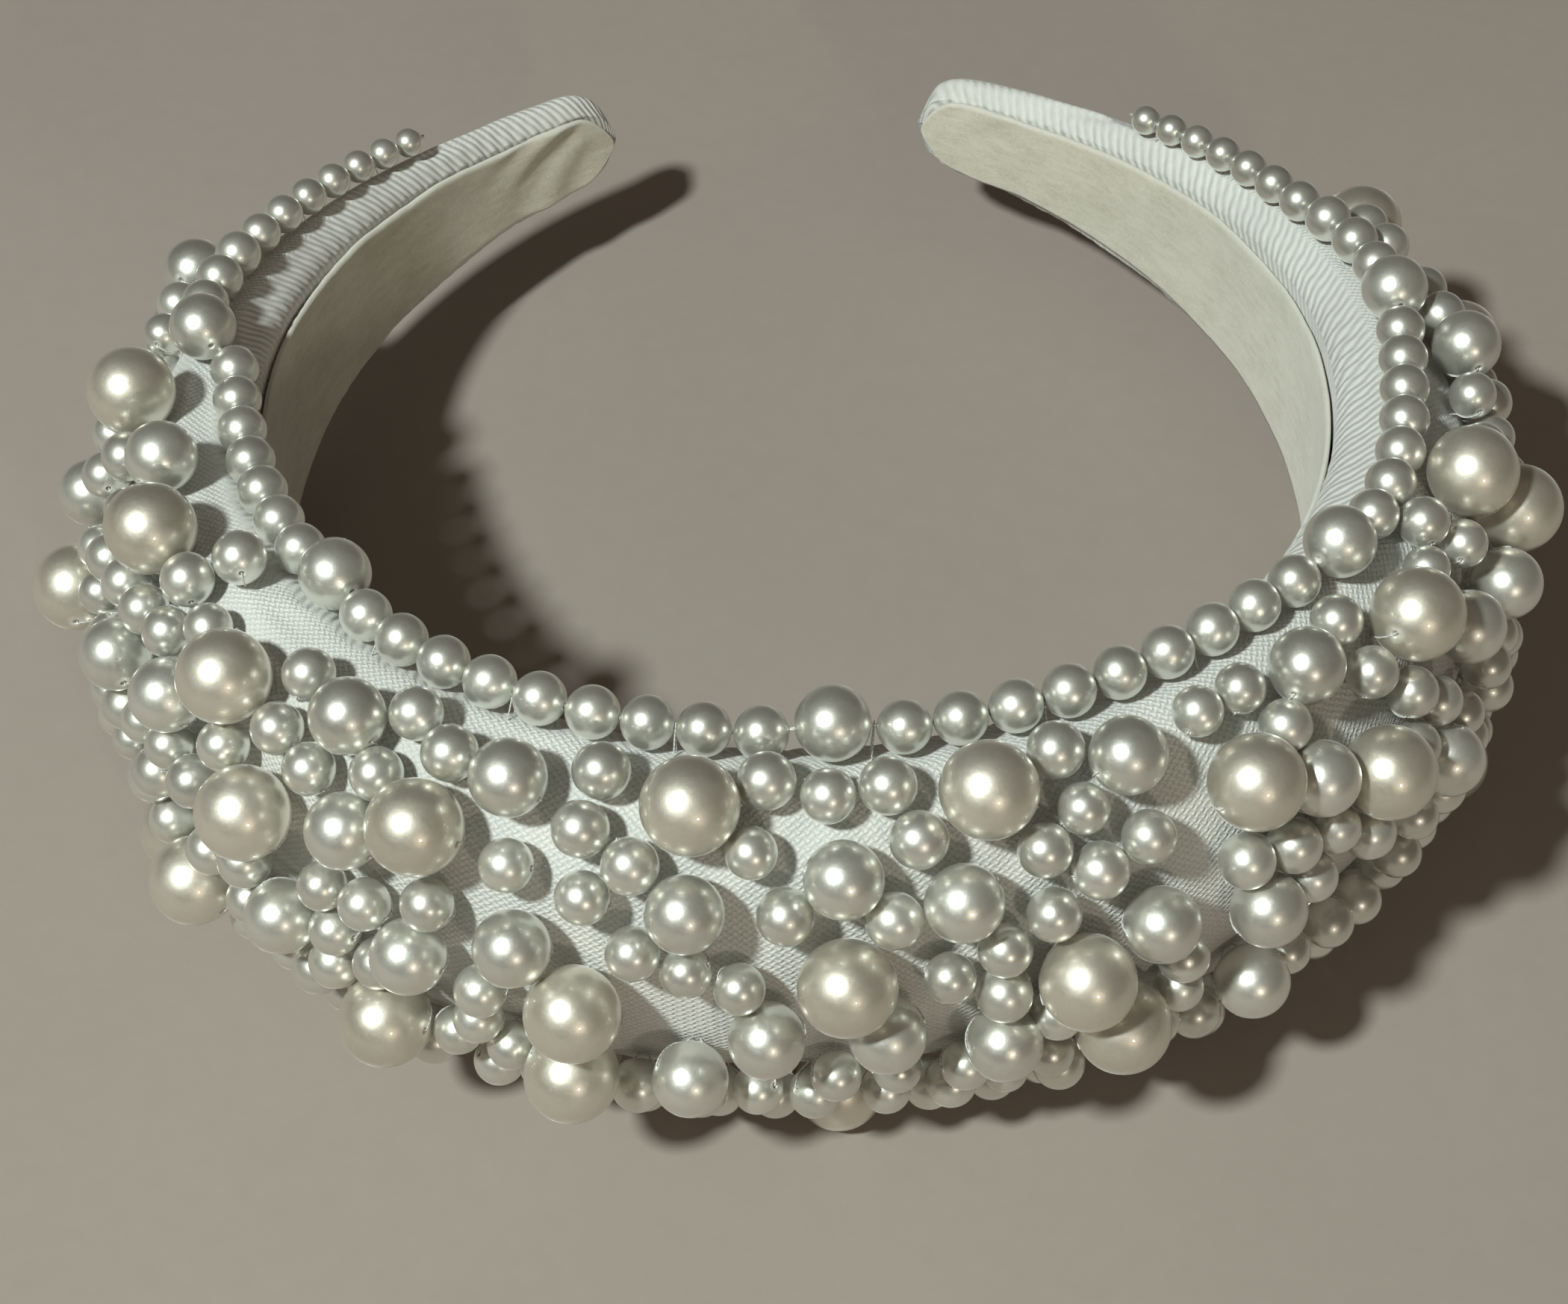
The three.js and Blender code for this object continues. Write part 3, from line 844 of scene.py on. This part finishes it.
# -------- thread
def stitch(pearl):
    """Thread through the pearl's hole, laid close round the pearl and down into the cloth."""
    out = directions(pearl.distance, pearl.angle)[2]
    down = -unit(out - pearl.axis * (pearl.axis @ out))
    reach = pearl.radius + STITCH_THREAD
    side = [
        pearl.axis * math.cos(a) * reach + down * math.sin(a) * reach
        for a in (0.12, 0.5, 0.9, 1.25)
    ]
    mirrored = [pearl.axis * -2 * (pearl.axis @ v) + v for v in side]
    foot = down * (pearl.radius + SEAT_GAP + STITCH_DEEP)
    path = [foot + unit(side[3]) * 0.3] + side[::-1] + [pearl.axis * pearl.radius * 0.9, 0 * foot]
    path += [pearl.axis * pearl.radius * -0.9] + mirrored + [foot + unit(mirrored[3]) * 0.3]
    return tube(smooth_path(pearl.centre + np.array(path), 2), STITCH_THREAD, 6)


def couching(strand):
    """Short stitches over the strand's thread, after every third pearl."""
    parts = []
    for before, after in zip(strand[1::3], strand[2::3]):
        middle = (before.distance + after.distance) / 2
        angle = (before.angle + after.angle) / 2
        out = directions(middle, angle)[2]
        way = unit(after.centre - before.centre)
        apart = np.linalg.norm(after.centre - before.centre) - before.radius - after.radius
        neck = before.centre + way * (before.radius + apart / 2)
        foot = on_cover(middle, angle, -STITCH_DEEP)
        over = neck + out * (STRAND_THREAD + STITCH_THREAD * 0.6)
        side = np.cross(way, out)
        beside = side * (STRAND_THREAD + STITCH_THREAD)
        path = [foot - side * 0.8, neck - beside, over, neck + beside, foot + side * 0.8]
        parts.append(tube(smooth_path(path, 3), STITCH_THREAD, 6))
    return parts


def strung(strand):
    """The thread that the strand's pearls are strung on, with a short end past each tip."""
    first, last = strand[0], strand[-1]
    path = [first.centre - first.axis * (first.radius + THREAD_END)]
    path += [pearl.centre for pearl in strand]
    path.append(last.centre + last.axis * (last.radius + THREAD_END))
    return tube(smooth_path(path, 3), STRAND_THREAD, 8)


def thread_piece(name, parts):
    points, faces = joined(parts)
    mesh_piece(name, laid_down(points), faces, THREAD)


thread_piece("sewing_thread", [stitch(pearl) for pearl in sewn + small])
thread_piece("strand_thread", [strung(strand)] + couching(strand))


# -------- the cloth cover
# How far the padded section turns round to its flat back, in degrees.
EDGE_TURN = math.degrees(math.acos(-MIDDLE_SHARE / (1 - MIDDLE_SHARE)))
SWELL_LIMIT = (-0.45, 0.6)
SWELL_GRID, SWELL_REACH = (143, 33), 178
STITCH_PULL = 0.35
# The cover swells at ten times its size, where cloth simulation is steady.
SWELL_SCALE, SWELL_FRAMES, SWELL_PRESSURE = 0.01, 18, 6


def band_stations(step, end, cap):
    """Distances along the band, closer together where the tips round off."""
    straight = np.arange(0, end - cap, step)
    half = np.concatenate([straight, end - cap + cap * np.sin(np.linspace(0, math.pi / 2, 12))])
    return np.concatenate([-half[:0:-1], half])


def swell():
    """Inflates the cover between its stitches by cloth simulation, and returns how far each
    place of a coarse grid rises from the pad."""
    stations = np.linspace(-SWELL_REACH, SWELL_REACH, SWELL_GRID[0])
    angles = np.linspace(-EDGE_TURN, EDGE_TURN, SWELL_GRID[1])
    grid_s, grid_a = np.meshgrid(stations, angles, indexing="ij")
    flat = on_cover(grid_s, grid_a)
    normals = on_cover(grid_s, grid_a, 1.0) - flat
    held = np.zeros(grid_s.shape, bool)
    held[:, [0, 1, -2, -1]] = True
    held[[0, -1], :] = True
    start = flat.copy()
    for pearl in sewn + small + strand:
        foot = on_cover(pearl.distance, pearl.angle)
        away = np.linalg.norm(flat - foot, axis=-1)
        i = np.unravel_index(away.argmin(), away.shape)
        if not held[i]:
            start[i] -= normals[i] * STITCH_PULL
        held[i] = True
    rows, columns = grid_s.shape
    index = np.arange(rows * columns).reshape(rows, columns)
    quads = np.stack([index[:-1, :-1], index[:-1, 1:], index[1:, 1:], index[1:, :-1]], axis=-1)
    mesh = bpy.data.meshes.new("cover_blank")
    mesh.from_pydata((start.reshape(-1, 3) * SWELL_SCALE).tolist(), [], quads.reshape(-1, 4).tolist())
    blank = bpy.data.objects.new("cover_blank", mesh)
    bpy.context.scene.collection.objects.link(blank)
    pins = blank.vertex_groups.new(name="stitched")
    pins.add(np.flatnonzero(held.ravel()).tolist(), 1.0, "REPLACE")
    cloth = blank.modifiers.new("swell", "CLOTH")
    settings = cloth.settings
    settings.quality = 8
    settings.mass = 0.2
    settings.tension_stiffness = settings.compression_stiffness = 18
    settings.shear_stiffness = 8
    settings.bending_stiffness = 1.5
    settings.vertex_group_mass = "stitched"
    settings.use_pressure = True
    settings.uniform_pressure_force = SWELL_PRESSURE
    settings.effector_weights.gravity = 0
    scene = bpy.context.scene
    for number in range(1, SWELL_FRAMES + 1):
        scene.frame_set(number)
    shown = blank.evaluated_get(bpy.context.evaluated_depsgraph_get()).data
    moved = np.array([v.co for v in shown.vertices]).reshape(rows, columns, 3) / SWELL_SCALE
    scene.frame_set(1)
    bpy.data.objects.remove(blank)
    rise = ((moved - flat) * normals).sum(-1)
    rise = np.where(rise > 0, rise * SWELL_LIMIT[1] / max(rise.max(), SWELL_LIMIT[1]), rise)
    return stations, angles, np.clip(rise, *SWELL_LIMIT)


def cubic_rows(values, at, ends):
    """Values on an even grid, read smoothly at other places of its first axis."""
    spot = np.clip((at - ends[0]) / (ends[1] - ends[0]), 0, 1) * (len(values) - 1)
    i = np.minimum(spot.astype(int), len(values) - 2)
    t = (spot - i)[:, None]
    a, b = values[np.maximum(i - 1, 0)], values[i]
    c, d = values[i + 1], values[np.minimum(i + 2, len(values) - 1)]
    return catmull(a, b, c, d, t)


def wander(along, seed, length):
    """A slow random curve between -1 and 1, the same each run."""
    source = np.random.default_rng(seed)
    knots = source.uniform(-1, 1, int(2 * BAND_HALF / length) + 4)
    return cubic_rows(knots[:, None], along, (-BAND_HALF, BAND_HALF))[:, 0]


def make_cover():
    """The cover, and the flat area of its cloth in square mm."""
    stations = band_stations(COVER_STEP, BAND_HALF, TIP_CAP)
    outer = np.linspace(-EDGE_TURN, EDGE_TURN, COVER_ROUND)
    grid_s, grid_a = np.meshgrid(stations, outer, indexing="ij")
    coarse_s, coarse_a, rise = swell()
    rise = cubic_rows(rise, stations, (coarse_s[0], coarse_s[-1]))
    rise = cubic_rows(rise.T, outer, (coarse_a[0], coarse_a[-1])).T

    # Gathers where the cloth is pulled over the edges, and pleats where it closes at the tips.
    near_edge = ramp(np.abs(grid_a), GATHER_START, 14)
    along, drift = stations[:, None], wander(stations, 3, 9.0)[:, None]
    gathers = np.sin(2 * math.pi * (along / GATHER_PITCH + 0.35 * drift + np.sign(grid_a) * 0.2))
    rise = rise + near_edge * (GATHER_HIGH + GATHER_UNEVEN * drift) * gathers
    at_tip = ramp(np.abs(along), PLEAT_START, PLEAT_RISE) ** 2
    pleats = np.sin(np.radians(grid_a) * 7 + 2.2 * np.sin(along / 3.1) + np.sign(along) * 1.3)
    rise = rise + at_tip * PLEAT_HIGH * pleats

    rim_out, rim_up = round_section(along, grid_a, rise)
    across, out, middle = section_at(along)

    # The section goes over the pad, turns under both edges as a hem, and comes back inside.
    edge = across * math.sin(math.radians(EDGE_TURN))
    hem = np.maximum(edge - HEM_DEPTH, edge * HEM_SHARE) * (1 - 0.93 * ramp(np.abs(along), 171, 7))
    inside_out, inside_up = np.maximum(out - COVER_THICK, 0.5), np.maximum(across - COVER_THICK, 0.5)
    inner_turn = np.arccos(np.clip((HEM_THICK - middle) / inside_out, -1, 1))
    inner = inner_turn * np.linspace(1, -1, 25)[None, :]

    def run(start, end, count, level):
        """A level stretch of the section."""
        ups = start + (end - start) * np.linspace(0, 1, count)[None, :]
        return level + 0 * ups, ups

    inner_edge = np.minimum(edge, across * np.abs(np.sin(inner_turn))) * 0.97
    under_out, under_up = run(edge * 0.985, hem, 8, 0)
    over_out, over_up = run(hem, inner_edge, 6, HEM_THICK)
    outs = [rim_out, under_out, over_out, middle + inside_out * np.cos(inner), over_out, under_out]
    ups = [rim_up, under_up, over_up, inside_up * np.sin(inner), -over_up[:, ::-1], -under_up[:, ::-1]]
    close = np.sqrt(np.maximum(1 - ramp(np.abs(along), BAND_HALF - TIP_CAP, TIP_CAP) ** 2, 0.0009))
    outs, ups = np.concatenate(outs, axis=1) * close, np.concatenate(ups, axis=1) * close
    points = place(along + 0 * outs, outs, ups)

    # The cloth's own coordinates, for its weave: along the band and round the section.
    steps = np.hypot(np.diff(outs, axis=1), np.diff(ups, axis=1))
    round_it = np.concatenate([np.zeros((len(stations), 1)), np.cumsum(steps, axis=1)], axis=1)
    round_it -= round_it[:, [COVER_ROUND // 2]]
    spots = np.stack([along + 0 * round_it, round_it, 0 * round_it], axis=-1) * METRES
    gathered = np.ones(outs.shape)
    ribbed_arms = ramp(np.abs(along), 128, 14) * 0.8
    gathered[:, :COVER_ROUND] = np.maximum(ramp(np.abs(grid_a), 99, 8), ribbed_arms)
    cover = mesh_piece(
        "cloth_cover", laid_down(points.reshape(-1, 3)), ring_faces(*outs.shape), CLOTH,
        {"cloth_place": spots.reshape(-1, 3), "gathered": gathered.ravel()}, ["fabric_cover"],
    )
    spread = steps[:, :COVER_ROUND - 1].sum(1) + 2 * HEM_DEPTH
    return cover, float(np.trapz(spread, stations))


cover, cover_area = make_cover()


# -------- lining, foam and core
def make_lining():
    """The lining, and its flat area in square mm."""
    end = BAND_HALF - LINING_END
    stations = band_stations(LINING_STEP, end, LINING_TIP)
    near_tip = ramp(np.abs(stations), end - LINING_TIP, LINING_TIP)
    half = width_at(stations) / 2 * profile(LINING_SHARES, np.abs(stations))
    steady = np.minimum(half, width_at(end - LINING_TIP) / 2 * LINING_SHARES[-1][1])
    half = np.where(near_tip > 0, steady * np.sqrt(np.maximum(1 - near_tip**2, 0.0004)), half)
    half = half + 0.16 * wander(stations, 11, 6.0) * (1 - near_tip)
    half = half + 0.06 * wander(stations, 12, 1.5) * (1 - near_tip)
    share = np.linspace(-1, 1, LINING_ACROSS)[None, :]
    ups = half[:, None] * share
    puff = 0.16 * wander(stations, 13, 14.0)[:, None] * (1 - share**2)
    crease = np.exp(-((np.abs(stations) - CREASE_AT) / CREASE_WIDE) ** 2)[:, None]
    deep = np.where(stations < 0, CREASE_DEEP_LEFT, CREASE_DEEP_RIGHT)[:, None]
    puff = puff + deep * crease * np.sin(stations[:, None] / 1.7 + 4 * share + 2 * share**2)
    puff = np.clip(puff, -0.45, 0.25) * (1 - near_tip[:, None])
    soft = np.clip((1 - np.abs(share)) / 0.05, 0, 1) ** 0.5
    face = LINING_FACE + puff + 0.14 * (1 - soft)
    back = LINING_FACE + LINING_THICK - 0.1 * (1 - soft) + 0 * puff
    outs = np.concatenate([face, back[:, ::-1]], axis=1)
    ups = np.concatenate([ups, ups[:, ::-1]], axis=1)
    points = place(stations[:, None] + 0 * outs, outs, ups)
    spots = np.stack([stations[:, None] + 0 * ups, ups, 0 * ups], axis=-1) * METRES
    cut = ramp(np.abs(ups), half[:, None] - 0.7, 0.7)
    rubbed = ramp(-stations[:, None], 135, 20) + 0 * ups
    faces = [face[::-1] for face in ring_faces(*outs.shape)]
    lining = mesh_piece(
        "lining_strip", laid_down(points.reshape(-1, 3)), faces, SUEDE,
        {"cloth_place": spots.reshape(-1, 3), "cut_edge": cut.ravel(), "rubbed": rubbed.ravel()},
        ["suede_lining"],
    )
    return lining, float(np.trapz(2 * half, stations))


def make_foam():
    """The foam pad: a domed section with a flat back."""
    end = BAND_HALF - FOAM_END
    stations = band_stations(2.0, end, FOAM_TIP)
    across, out, middle = section_at(stations)
    out, across = out - FOAM_INSET, across - FOAM_INSET
    near_tip = ramp(np.abs(stations), end - FOAM_TIP, FOAM_TIP)
    close = np.sqrt(np.maximum(1 - near_tip**2, 0.01))[:, None]
    back = FOAM_BACK - middle
    edge = np.arccos(np.clip(back / out, -1, 1))
    turn = edge[:, None] * np.linspace(-1, 1, 45)[None, :]
    flank = np.linspace(0.94, -0.94, 17)[None, :]
    outs = np.concatenate([out[:, None] * np.cos(turn), back[:, None] + 0 * flank], axis=1)
    ups = np.concatenate([across[:, None] * np.sin(turn), (across * np.sin(edge))[:, None] * flank], axis=1)
    points = place(stations[:, None] + 0 * outs, outs * close + middle[:, None], ups * close)
    return mesh_piece(
        "foam_padding", laid_down(points.reshape(-1, 3)), ring_faces(*outs.shape), FOAM, None,
        ["foam_pad"],
    )


lining, lining_area = make_lining()
foam = make_foam()
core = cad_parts["core_band"]
core.data.materials.clear()
core.data.materials.append(CORE)


# -------- table, light and camera
def table_material():
    """A pale matt table top, faintly uneven."""
    material, tree, shader = new_material("Pale Table", Specular_IOR_Level=0.1)
    mottle = use_group(tree, MOTTLE, Place=in_space(tree), Patch=9.0, Grain=260.0, Grain_Share=0.25)
    patch = mottle.outputs["Mask"]
    colour = blend_colour(tree, patch, (0.375, 0.325, 0.29, 1), (0.415, 0.362, 0.325, 1))
    feed(tree, shader, Base_Color=colour, Roughness=remap(tree, patch, 0.0, 1.0, 0.95, 0.85))
    relief(tree, shader, noise(tree, in_space(tree), 300.0, 4), 0.12, 0.0004)
    return material


def make_table():
    """A wide table top that curves up into a backdrop far behind."""
    run = [(-2.5, 0.0), (1.2, 0.0)] + [
        (1.2 + math.sin(a), 1 - math.cos(a)) for a in np.linspace(0.1, math.pi / 2, 14)
    ] + [(2.2, 3.0)]
    points = [(x, y, z) for y, z in run for x in (-3.0, 3.0)]
    faces = [(2 * i, 2 * i + 1, 2 * i + 3, 2 * i + 2) for i in range(len(run) - 1)]
    mesh = bpy.data.meshes.new("table_top")
    mesh.from_pydata(points, [], faces)
    mesh.polygons.foreach_set("use_smooth", [True] * len(faces))
    table = bpy.data.objects.new("table_top", mesh)
    bpy.context.scene.collection.objects.link(table)
    mesh.materials.append(table_material())


def lamp(name, direction, away, size, power, colour):
    """A round soft lamp that faces the headband from a direction, away metres off."""
    light = bpy.data.lights.new(name, "AREA")
    light.shape = "DISK"
    light.size = size
    light.energy = power
    light.color = colour
    holder = bpy.data.objects.new(name, light)
    bpy.context.scene.collection.objects.link(holder)
    way = Vector(direction).normalized()
    holder.location = way * away
    holder.rotation_mode = "QUATERNION"
    holder.rotation_quaternion = way.to_track_quat("Z", "Y")


make_table()
lamp("key", (-0.42, -0.39, 0.82), away=1.2, size=0.1, power=12.0, colour=(0.92, 1.0, 0.95))
lamp("warm", (0.25, -0.89, 0.375), away=1.3, size=0.1, power=1.5, colour=(1.0, 0.88, 0.72))

world = bpy.data.worlds.new("Room")
bpy.context.scene.world = world
world.use_nodes = True
sky = world.node_tree.nodes["Background"].inputs
sky["Color"].default_value = (0.5, 0.43, 0.34, 1)
sky["Strength"].default_value = 0.2

camera = bpy.data.objects.new("camera", bpy.data.cameras.new("camera"))
bpy.context.scene.collection.objects.link(camera)
camera.data.sensor_width = 36.0
camera.data.lens = 66.86
camera.data.clip_start, camera.data.clip_end = 0.01, 20.0
camera.location = (-0.01142, -0.23139, 0.28428)
camera.rotation_euler = tuple(math.radians(a) for a in (39.214, 0.638, -3.322))
bpy.context.scene.camera = camera
bpy.context.scene.view_settings.view_transform = "Standard"
